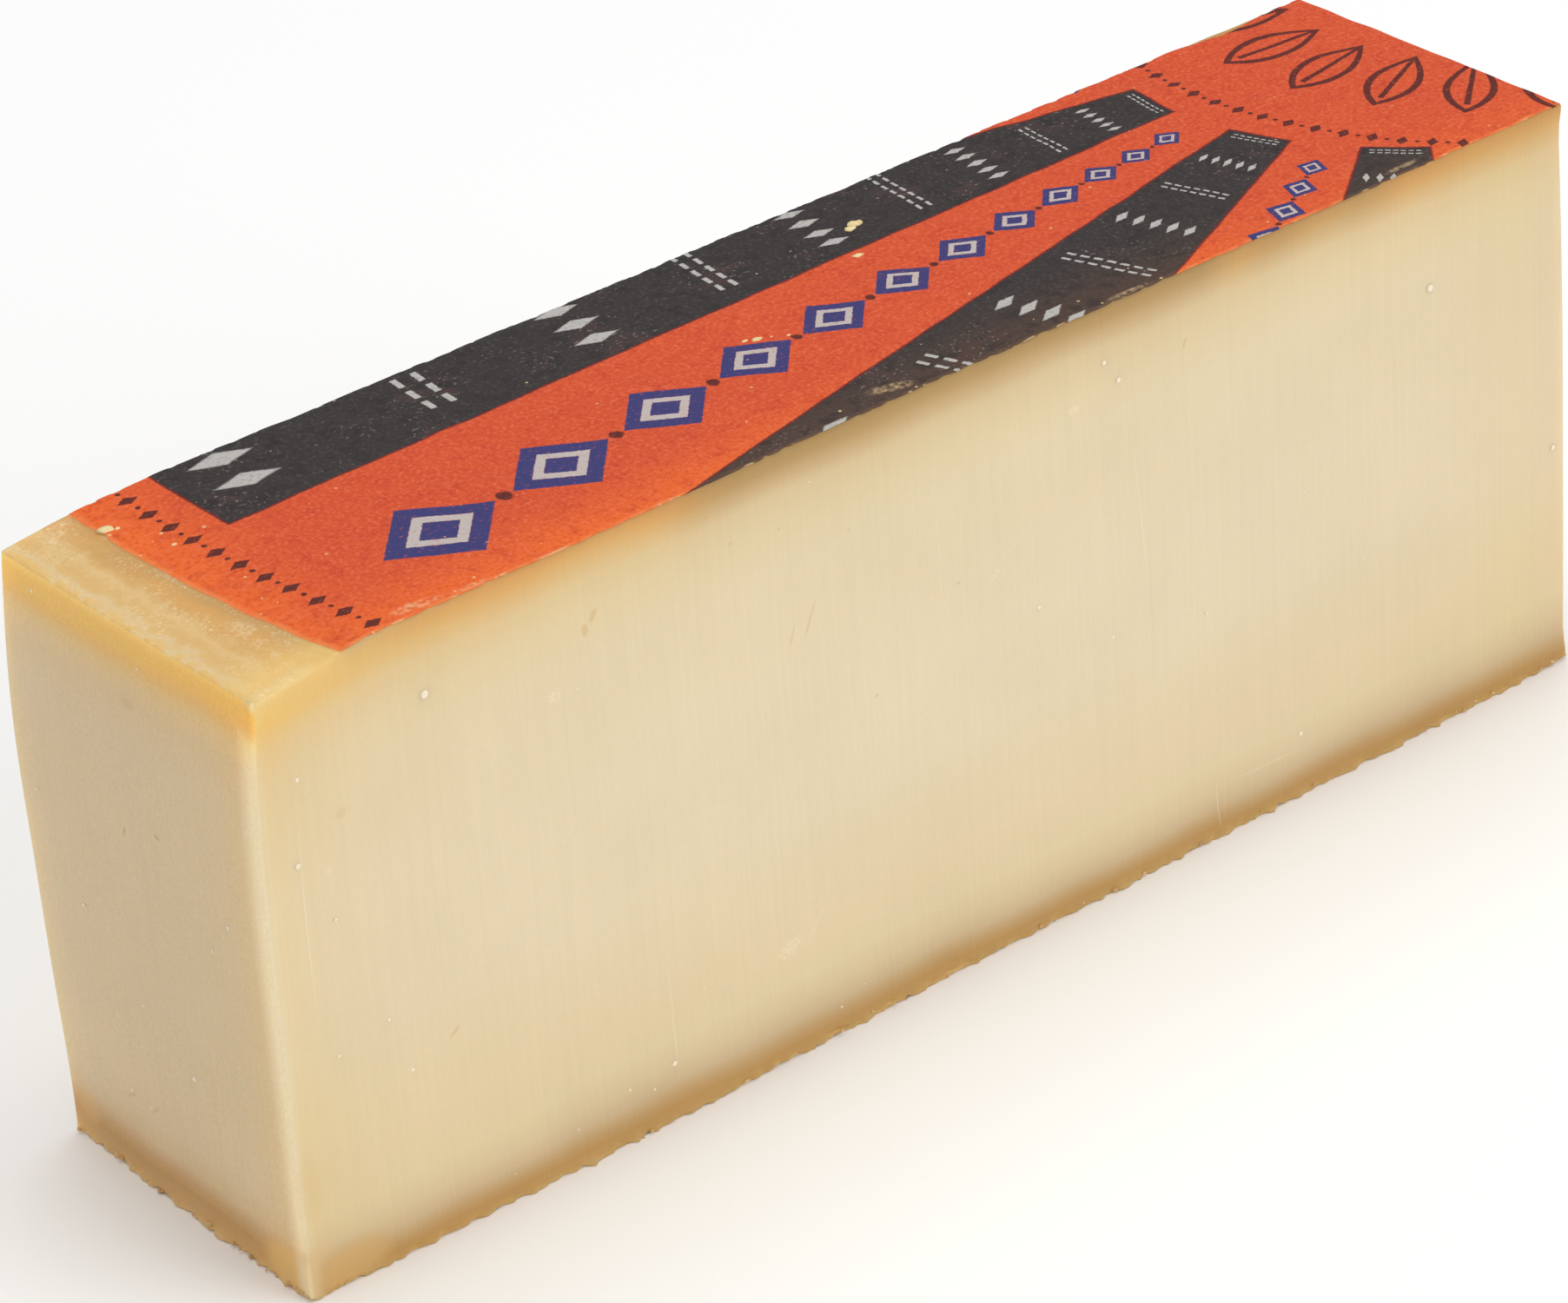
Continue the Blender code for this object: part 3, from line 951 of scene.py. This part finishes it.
feed(rim_shader.inputs["Base Color"], rim_colour)
rim_shader.inputs["Roughness"].default_value = 0.6
rim_flatten = (1.1, 1.0, 0.75)
crumbs = pebbles("rim_crumbs", crumb_places, crumb_radius, rim_flatten, 0.38, 33, rim_matter, splits=1)
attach(crumbs, "root")

crumb_matter, crumb_shader, crumb_mm = new_material("dry_crumb")
crumb_colour = blend(noise(crumb_mm, 0.8) * 2.0 + 0.5, DRY_CRUMB_HONEY, DRY_CRUMB_CREAM)
feed(crumb_shader.inputs["Base Color"], crumb_colour)
crumb_shader.inputs["Roughness"].default_value = 0.6
label_bits = np.array(LABEL_CRUMBS)
bit_places = np.column_stack((label_bits[:, :2] / 1000.0, np.full(len(label_bits), SLAB_HEIGHT)))
bit_radii = label_bits[:, 2] / 1000.0
bits = pebbles("label_crumbs", placed(bit_places), bit_radii, (1.15, 0.8, 0.36), 0.25, 35, crumb_matter)
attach(bits, "root")


# The label's print
# Orange paper printed in charcoal, navy and a dark red-brown. Charcoal rays spread from near the
# middle of the wheel, with chains and rows of plain lozenges between them and on them.

LABEL_ORANGE = paint(212, 83, 46)
RIM_ORANGE = paint(242, 110, 42)
EDGE_ORANGE = paint(240, 140, 78)
RED_FIBRE = paint(190, 60, 40)
PALE_FIBRE = paint(236, 122, 86)
RAY_CHARCOAL = paint(56, 51, 50)
PALE_CHARCOAL = paint(92, 86, 82)
DEEP_CHARCOAL = paint(44, 39, 38)
FLECK_GREY = paint(146, 142, 138)
REDDISH_CHARCOAL = paint(84, 60, 60)
WORN_CHARCOAL = paint(84, 62, 52)
EDGE_CHARCOAL = paint(112, 86, 66)
RAY_RIM = paint(110, 34, 34)
PRINT_NAVY = paint(60, 60, 114)
PRINT_MAROON = paint(86, 36, 34)
PRINT_PALE = paint(190, 186, 182)
BARE_PAPER = paint(240, 204, 152)

RAYS_ALONG = 274.4
RAYS_ACROSS = 45.1
FIRST_RAY = math.radians(-5.29)
RAY_STEP = math.radians(24.5)
RAY_INNER = 53.8
RAY_OUTER = 271.6
RAY_HALF_AT_HUNDRED = 10.66
RAY_FLARE = 0.1088
INK_BLUR = 0.12
ROW_START = 60.0
ROW_GROWTH = 1.175
TALL_PITCH = 0.034
TALL_HALF_LONG = 0.027
TALL_HALF_WIDE = 0.0105
DASH_PITCH = 0.0226
DASH_OFF = 0.009
ROW_HALF = 0.0785
CHAIN_START = 58.98
CHAIN_GROWTH = 1.125
CHAIN_END = CHAIN_START * CHAIN_GROWTH**12 - 0.5
LINK_HALF_LONG = 0.051
LINK_HALF_WIDE = 0.043
DOT_OFF = 0.0595
RINGS = ((278.0, 5.6, 2.0), (70.8, 5.0, 1.75))
LEAF_FAR = 49.0
LEAF_STEP = math.radians(15.0)
LEAF_TURN = math.radians(5.0)
LEAF_HALF_LONG = 10.5
LEAF_HALF_WIDE = 4.6
VEIN_HALF_LONG = 8.5


def polar(along, across, centre_along, centre_across):
    """Distance and heading from a centre, the heading 0 towards the heel and rising to the front."""
    to_heel = centre_along - along
    to_front = centre_across - across
    far = (to_heel * to_heel + to_front * to_front).maths("SQRT")
    return far, to_front.maths("ARCTAN2", to_heel)


def lozenge(x, y, half_long, half_wide):
    """How far inside a lozenge a point lies, from 1 at its middle to 0 at its rim."""
    return 1.0 - abs(x) / half_long - abs(y) / half_wide


def repeated(value, pitch):
    """The value's distance from the nearest multiple of the pitch, from minus to plus half of one."""
    return value.maths("WRAP", pitch / 2.0, -pitch / 2.0)


def growing(run, start, growth):
    """Bands across a ray, each longer than the one before by the same growth.

    Gives the middle of the band that a point is in, and whether the band's number is odd.
    """
    number = (run.maths("MAXIMUM", 1.0) / start).maths("LOGARITHM", growth).maths("FLOOR")
    middle = (number * math.log(growth)).maths("EXPONENT") * (start * (1.0 + growth) / 2.0)
    return middle, abs(number.maths("MODULO", 2.0))


label_print, (print_along, print_across) = new_group(
    "label_print", [("Along", NUMBER), ("Across", NUMBER)], ["Ray", "Rim", "Navy", "Maroon", "Pale"]
)
far, heading = polar(print_along, print_across, RAYS_ALONG, RAYS_ACROSS)
wheel_far, wheel_heading = polar(print_along, print_across, WHEEL_ALONG, WHEEL_ACROSS)

# The rays, and the thin dark line where their ink overlaps the orange.
turn = repeated(heading - FIRST_RAY, RAY_STEP)
ray_run = far * turn.maths("COSINE")
ray_off = far * turn.maths("SINE")
ray_half = (ray_run - 100.0) * RAY_FLARE + RAY_HALF_AT_HUNDRED
inside_ray = (ray_half - abs(ray_off)).maths("MINIMUM", ray_run - RAY_INNER)
inside_ray = inside_ray.maths("MINIMUM", RAY_OUTER - wheel_far)
ray = inside_ray.ramp(-INK_BLUR, INK_BLUR)
ray_rim = inside_ray.ramp(-0.34, -0.1) * inside_ray.ramp(0.15, 0.4, 1.0, 0.0)

# Pale rows across each ray, of five upright lozenges or of a double row of dashes in turn. Their sizes,
# and those of the chains, are shares of the distance from where the rays meet.
row_middle, odd_row = growing(ray_run, ROW_START, ROW_GROWTH)
row_run = (ray_run - row_middle) / row_middle
row_off = ray_off / row_middle
tall = lozenge(row_run, repeated(row_off, TALL_PITCH), TALL_HALF_LONG, TALL_HALF_WIDE).ramp(0.0, 0.25)
dashes = abs(abs(row_run) - DASH_OFF).ramp(0.0022, 0.0034, 1.0, 0.0)
dashes = dashes * abs(repeated(row_off, DASH_PITCH)).ramp(0.0070, 0.0082, 1.0, 0.0)
in_row = ray * abs(row_off).ramp(ROW_HALF, ROW_HALF + 0.0012, 1.0, 0.0)
pale = in_row * (dashes * odd_row + tall * (1.0 - odd_row))

# Between two rays runs a chain of navy lozenges with pale cores, and a small dot after each.
gap_turn = repeated(heading - FIRST_RAY - RAY_STEP / 2.0, RAY_STEP)
gap_run = far * gap_turn.maths("COSINE")
gap_off = far * gap_turn.maths("SINE")
link_middle, _ = growing(gap_run, CHAIN_START, CHAIN_GROWTH)
link_run = (gap_run - link_middle) / link_middle
link_off = gap_off / link_middle
link = lozenge(link_run, link_off, LINK_HALF_LONG, LINK_HALF_WIDE)
chain = link.ramp(0.0, 0.035)
core_mask = abs(link - 0.52).ramp(0.10, 0.13, 1.0, 0.0)
dot_run = abs(link_run) - DOT_OFF
dots = (dot_run * dot_run + link_off * link_off).ramp(0.00003, 0.00006, 1.0, 0.0)
in_gap = gap_run.ramp(CHAIN_START, CHAIN_START + 0.3)
in_gap = in_gap * gap_run.ramp(CHAIN_END, CHAIN_END + 0.3, 1.0, 0.0)
navy = chain * (1.0 - core_mask) * in_gap
pale = larger(pale, chain * core_mask * in_gap)
between_links = gap_run.ramp(CHAIN_START + 2.0, CHAIN_START + 2.3)
between_links = between_links * gap_run.ramp(CHAIN_END - 4.0, CHAIN_END - 3.7, 1.0, 0.0)
maroon = dots * between_links

# Two rings of small lozenges and dots about the wheel's middle, near the rim and where the rays start,
# each with its radius, the pitch of its lozenges and half the length of one.
for ring_far, ring_pitch, ring_half in RINGS:
    ring_run = wheel_heading * ring_far
    ring_off = wheel_far - ring_far
    bead = lozenge(ring_off, repeated(ring_run, ring_pitch), ring_half, ring_half * 0.62).ramp(0.0, 0.12)
    stop = repeated(ring_run + ring_pitch / 2.0, ring_pitch)
    stop = (stop * stop + ring_off * ring_off).ramp(0.14, 0.26, 1.0, 0.0)
    maroon = larger(maroon, bead, stop)

# A wreath of slim leaves in the middle, each an outline with a vein along it.
leaf_run = wheel_far - LEAF_FAR
leaf_off = repeated(wheel_heading + LEAF_TURN, LEAF_STEP) * LEAF_FAR
leaf = 1.0 - (leaf_run / LEAF_HALF_LONG) ** 2.0 - abs(leaf_off) / LEAF_HALF_WIDE
outline = leaf.ramp(0.0, 0.04) * leaf.ramp(0.26, 0.32, 1.0, 0.0)
vein = abs(leaf_off).ramp(0.35, 0.6, 1.0, 0.0)
vein = vein * abs(leaf_run + 1.5).ramp(VEIN_HALF_LONG, VEIN_HALF_LONG + 0.3, 1.0, 0.0)
maroon = larger(maroon, outline, vein)
finish_group(label_print, ray=ray, rim=ray_rim, navy=navy, maroon=maroon, pale=pale)

BLEED_SIZE = 0.5
BLEED_REACH = 0.35
FIBRE_SIZE = 0.75
MOTTLE_SIZE = 3.0
FELT_SIZE = 9.0
CHIP_PITCH = 1.1
SCUFFS = (
    (31.0, 2.0, 5.4, 1.5, -6.0, 0.85),
    (40.0, 0.9, 4.4, 0.8, -2.0, 0.6),
    (123.0, 3.2, 5.0, 1.6, -16.0, 0.7),
    (231.0, 2.0, 5.0, 0.9, 4.0, 0.6),
    (170.0, 1.0, 6.0, 0.8, 0.0, 0.6),
)

paper, paper_shader, paper_mm = new_material("label_paper")
along, across, _ = laid_out(paper)
bleed_x = noise(paper_mm, BLEED_SIZE) * BLEED_REACH
elsewhere = stretched(paper_mm, (1.0, 1.0, 1.0), (31.0, 7.0, 0.0))
bleed_y = noise(elsewhere, BLEED_SIZE) * BLEED_REACH
ray, ray_rim, navy, maroon, pale = use_group(
    label_print, paper.node_tree, along=along + bleed_x, across=across + bleed_y
)
fibre = noise(paper_mm, FIBRE_SIZE, 3.0, 0.7)
mottle = noise(paper_mm, MOTTLE_SIZE, 1.0)
felt = noise(paper_mm, FELT_SIZE, 3.0)
by_front = across.fade(9.0) * along.ramp(170.0, 200.0, 1.0, 0.45)
by_rim = (along - 12.0).fade(11.0)
near_edge = (larger(by_front * 0.85, by_rim) + felt * 0.6).maths("MAXIMUM", 0.0).maths("MINIMUM", 1.0)
colour = blend(near_edge * 0.85, LABEL_ORANGE, RIM_ORANGE)
colour = blend(fibre.ramp(0.0, 0.19) * 0.5 + mottle.ramp(0.0, 0.2) * 0.3, colour, RED_FIBRE)
colour = blend(fibre.ramp(0.0, -0.17) * 0.5, colour, PALE_FIBRE)
cut_wear = across.ramp(0.2, 1.1, 1.0, 0.0) * mottle.ramp(-0.15, 0.1, 0.3, 1.0)
rim_wear = beyond_rim(along, across).ramp(-1.3, -0.2) * mottle.ramp(-0.15, 0.1, 0.5, 1.0)
colour = blend(larger(cut_wear * 0.75, rim_wear * 0.8), colour, EDGE_ORANGE)
charcoal = blend(by_front * 0.8, RAY_CHARCOAL, WORN_CHARCOAL)
charcoal = blend(fibre.ramp(0.0, -0.17) * 0.4, charcoal, PALE_CHARCOAL)
charcoal = blend(mottle.ramp(0.0, 0.2) * 0.5, charcoal, DEEP_CHARCOAL)
charcoal = blend(felt.ramp(0.06, 0.2) * mottle.ramp(0.1, -0.1) * 0.5, charcoal, REDDISH_CHARCOAL)
flecks = fibre.ramp(-0.11, -0.18) * felt.ramp(0.0, 0.12)
charcoal = blend(flecks * 0.8, charcoal, FLECK_GREY)
charcoal = blend(cut_wear * 0.7, charcoal, EDGE_CHARCOAL)
colour = blend(ray_rim * 0.75, blend(ray, colour, charcoal), RAY_RIM)
ink = fibre.ramp(-0.05, -0.22, 1.0, 0.72)
colour = blend(navy * ink, colour, PRINT_NAVY)
colour = blend(maroon * ink * 0.95, colour, PRINT_MAROON)
colour = blend(pale * fibre.ramp(0.0, 0.2, 0.95, 0.6), colour, PRINT_PALE)

scuffed = blots(along, across, SCUFFS) * (noise(paper_mm, 0.9, 3.0) * 3.0 + 0.45)
chipped = by_rim * felt.ramp(-0.04, 0.08) * 0.2 + near_edge * 0.04 + 0.01
(chips,) = use_group(specks, paper.node_tree, place=paper_mm, pitch=CHIP_PITCH, share=chipped)
torn = across.ramp(0.15, 0.5, 1.0, 0.0) * mottle.ramp(0.1, 0.16)
bare = larger(chips * 0.7, torn * 0.5, scuffed * 0.8).maths("MAXIMUM", 0.0).maths("MINIMUM", 0.8)
colour = blend(bare, colour, BARE_PAPER)
feed(paper_shader.inputs["Base Color"], colour)
feed(paper_shader.inputs["Roughness"], fibre * 0.3 + 0.66)
paper_shader.inputs["Specular IOR Level"].default_value = 0.15
bump(paper_shader, fibre * 0.04 + felt * 0.1 - bare * 0.04)


# The label
# A paper disc was pasted on the wheel before it ripened, and was cut through with the cheese. It
# follows the rind, ends in the disc's own rim at the heel, and is ragged where the wire cut it.

RIM_RADIUS = LABEL_RADIUS / 1000.0
CENTRE_FROM_HEEL = WHEEL_ALONG / 1000.0
CENTRE_FROM_FRONT = WHEEL_ACROSS / 1000.0
LABEL_THICKNESS = 0.00011
LABEL_LIFT = -0.00002
LABEL_INSET = 0.00005
RIM_FRAY = 0.00005
RIM_THINNING = (-0.002, 0.004)
TEAR_FROM_HEEL = 0.2475
TEAR_LENGTH = 0.007
TEAR_DEPTH = 0.0014
CHIP_ACROSS = 0.054
CHIP_WIDTH = 0.0016
CHIP_DEPTH = 0.0007
FRAY = 0.00026
FRAY_SIZE = 0.003
CRISP_EDGE = math.radians(35.0)
SHEET_STEPS = (400, 100, 2)


def label_sheet(along_share, across_share):
    """Points of the label's underside, from two shares: from its rim to the toe, and front to back.

    At each place across the slab the rim is the circle about the wheel's centre, drawn in where the
    paper is chipped. The cut edges lie just inside the cuts, frayed by a small uneven relief, and
    the back one is torn inwards near the toe.
    """
    y = LABEL_INSET + across_share * (SLAB_WIDTH - 2.0 * LABEL_INSET)
    rim = CENTRE_FROM_HEEL - np.sqrt(RIM_RADIUS**2 - (y - CENTRE_FROM_FRONT) ** 2)
    rim = rim + CHIP_DEPTH * bell(CHIP_ACROSS, CHIP_WIDTH, y)
    end = SLAB_LENGTH - 2.0 * LABEL_INSET
    x = rim + along_share * (end - rim)
    spread = np.stack((x, y, np.zeros_like(x)), axis=-1)
    fray = FRAY * (ripple(spread, FRAY_SIZE, seed=11) + 0.5 * ripple(spread, FRAY_SIZE / 3.0, seed=12))
    y = y + np.maximum(fray, 0.0) * bell(0.0, 0.02, across_share)
    y = y - np.maximum(fray, 0.0) * bell(1.0, 0.02, across_share)
    y = y - TEAR_DEPTH * bell(TEAR_FROM_HEEL, TEAR_LENGTH, x) * across_share**4
    x = x + fray * (RIM_FRAY / FRAY) * bell(0.0, 0.01, along_share)
    return np.stack((x, y, np.full_like(x, SLAB_HEIGHT)), axis=-1)


steps, squares = box_skin(SHEET_STEPS)
shares = steps[:2] / (np.array(SHEET_STEPS[:2]) - 1.0)[:, None]
sheet = label_sheet(*shares)
label_points = placed(sheet)
label_points[:, 2] += RIND_RELIEF * ripple(sheet, RIND_RELIEF_SIZE, RELIEF_SEED)
label_points[:, 2] += LABEL_LIFT + LABEL_THICKNESS * steps[2] * rise(*RIM_THINNING, shares[0])

label = new_piece("label", label_points, squares, paper, sheet)
label.data.set_sharp_from_angle(angle=CRISP_EDGE)
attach(label, "root")
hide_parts("paper_label")


# The table
# A plain pale table top, flat and dull, that the slab stands on with its lower rind. It is no part of
# the slab, and only takes its shadow.

TABLE_HALF = 3.0
TABLE_WHITE = paint(255, 255, 255)
table_finish, table_shader, _ = new_material("table_finish")
table_shader.inputs["Base Color"].default_value = TABLE_WHITE
table_shader.inputs["Roughness"].default_value = 0.9
table_shader.inputs["Specular IOR Level"].default_value = 0.1
table_points = np.array([(-1, -1, 0), (1, -1, 0), (1, 1, 0), (-1, 1, 0)]) * TABLE_HALF
table = new_piece("table", table_points, np.array([[0, 1, 2, 3]]), table_finish)


# The lamps
# A white room lights the slab from all sides. A large soft lamp to the right of the camera makes the
# front lighter than the heel, and a second one overhead lights the label.

ROOM_LIGHT = 0.53
SLAB_MIDDLE = (0.0, 0.0, 0.05)
FRONT_LAMP_PLACE = (0.9, -1.7, 1.1)
FRONT_LAMP_WIDTH = 1.4
FRONT_LAMP_POWER = 16.2
TOP_LAMP_PLACE = (0.1, 0.3, 1.9)
TOP_LAMP_WIDTH = 1.6
TOP_LAMP_POWER = 15.0


def new_lamp(name, place, width, power):
    """A square soft lamp at a place, turned to the middle of the slab."""
    light = bpy.data.lights.new(name, "AREA")
    light.size = width
    light.energy = power
    lamp = bpy.data.objects.new(name, light)
    lamp.location = place
    lamp.rotation_euler = (Vector(SLAB_MIDDLE) - Vector(place)).to_track_quat("-Z", "Y").to_euler()
    bpy.context.scene.collection.objects.link(lamp)


new_lamp("front_lamp", FRONT_LAMP_PLACE, FRONT_LAMP_WIDTH, FRONT_LAMP_POWER)
new_lamp("top_lamp", TOP_LAMP_PLACE, TOP_LAMP_WIDTH, TOP_LAMP_POWER)

room = bpy.data.worlds.new("white_room")
room.use_nodes = True
room.node_tree.nodes["Background"].inputs["Color"].default_value = (1.0, 1.0, 1.0, 1.0)
room.node_tree.nodes["Background"].inputs["Strength"].default_value = ROOM_LIGHT
bpy.context.scene.world = room


# The camera
# A long lens, a little under a metre from the slab. It looks down on the heel's front corner, and is
# rolled a few degrees, as in the photograph.

PHOTO_WIDTH_PX = 1805
FOCAL_LENGTH_PX = 7067.43
SENSOR_WIDTH_MM = 36.0
CAMERA_HEADING = math.radians(-38.24)
CAMERA_CLIMB = math.radians(29.86)
CAMERA_ROLL = math.radians(-3.548)
CAMERA_DISTANCE = 0.92834
CAMERA_AIM = Vector((0.096279, 0.0, 0.071593)) + Vector(PLAIN_CORNER)

to_camera = Vector(
    (
        math.sin(CAMERA_HEADING) * math.cos(CAMERA_CLIMB),
        -math.cos(CAMERA_HEADING) * math.cos(CAMERA_CLIMB),
        math.sin(CAMERA_CLIMB),
    )
)
level = Vector((0.0, 0.0, 1.0)).cross(to_camera).normalized()
turned = Matrix((level, to_camera.cross(level), to_camera)).transposed()
turned = turned @ Matrix.Rotation(CAMERA_ROLL, 3, "Z")
lens = bpy.data.cameras.new("camera")
lens.sensor_width = SENSOR_WIDTH_MM
lens.sensor_fit = "HORIZONTAL"
lens.lens = SENSOR_WIDTH_MM * FOCAL_LENGTH_PX / PHOTO_WIDTH_PX
camera = bpy.data.objects.new("camera", lens)
camera.matrix_world = Matrix.Translation(CAMERA_AIM + to_camera * CAMERA_DISTANCE) @ turned.to_4x4()
bpy.context.scene.collection.objects.link(camera)
bpy.context.scene.camera = camera
bpy.context.scene.view_settings.view_transform = "Standard"
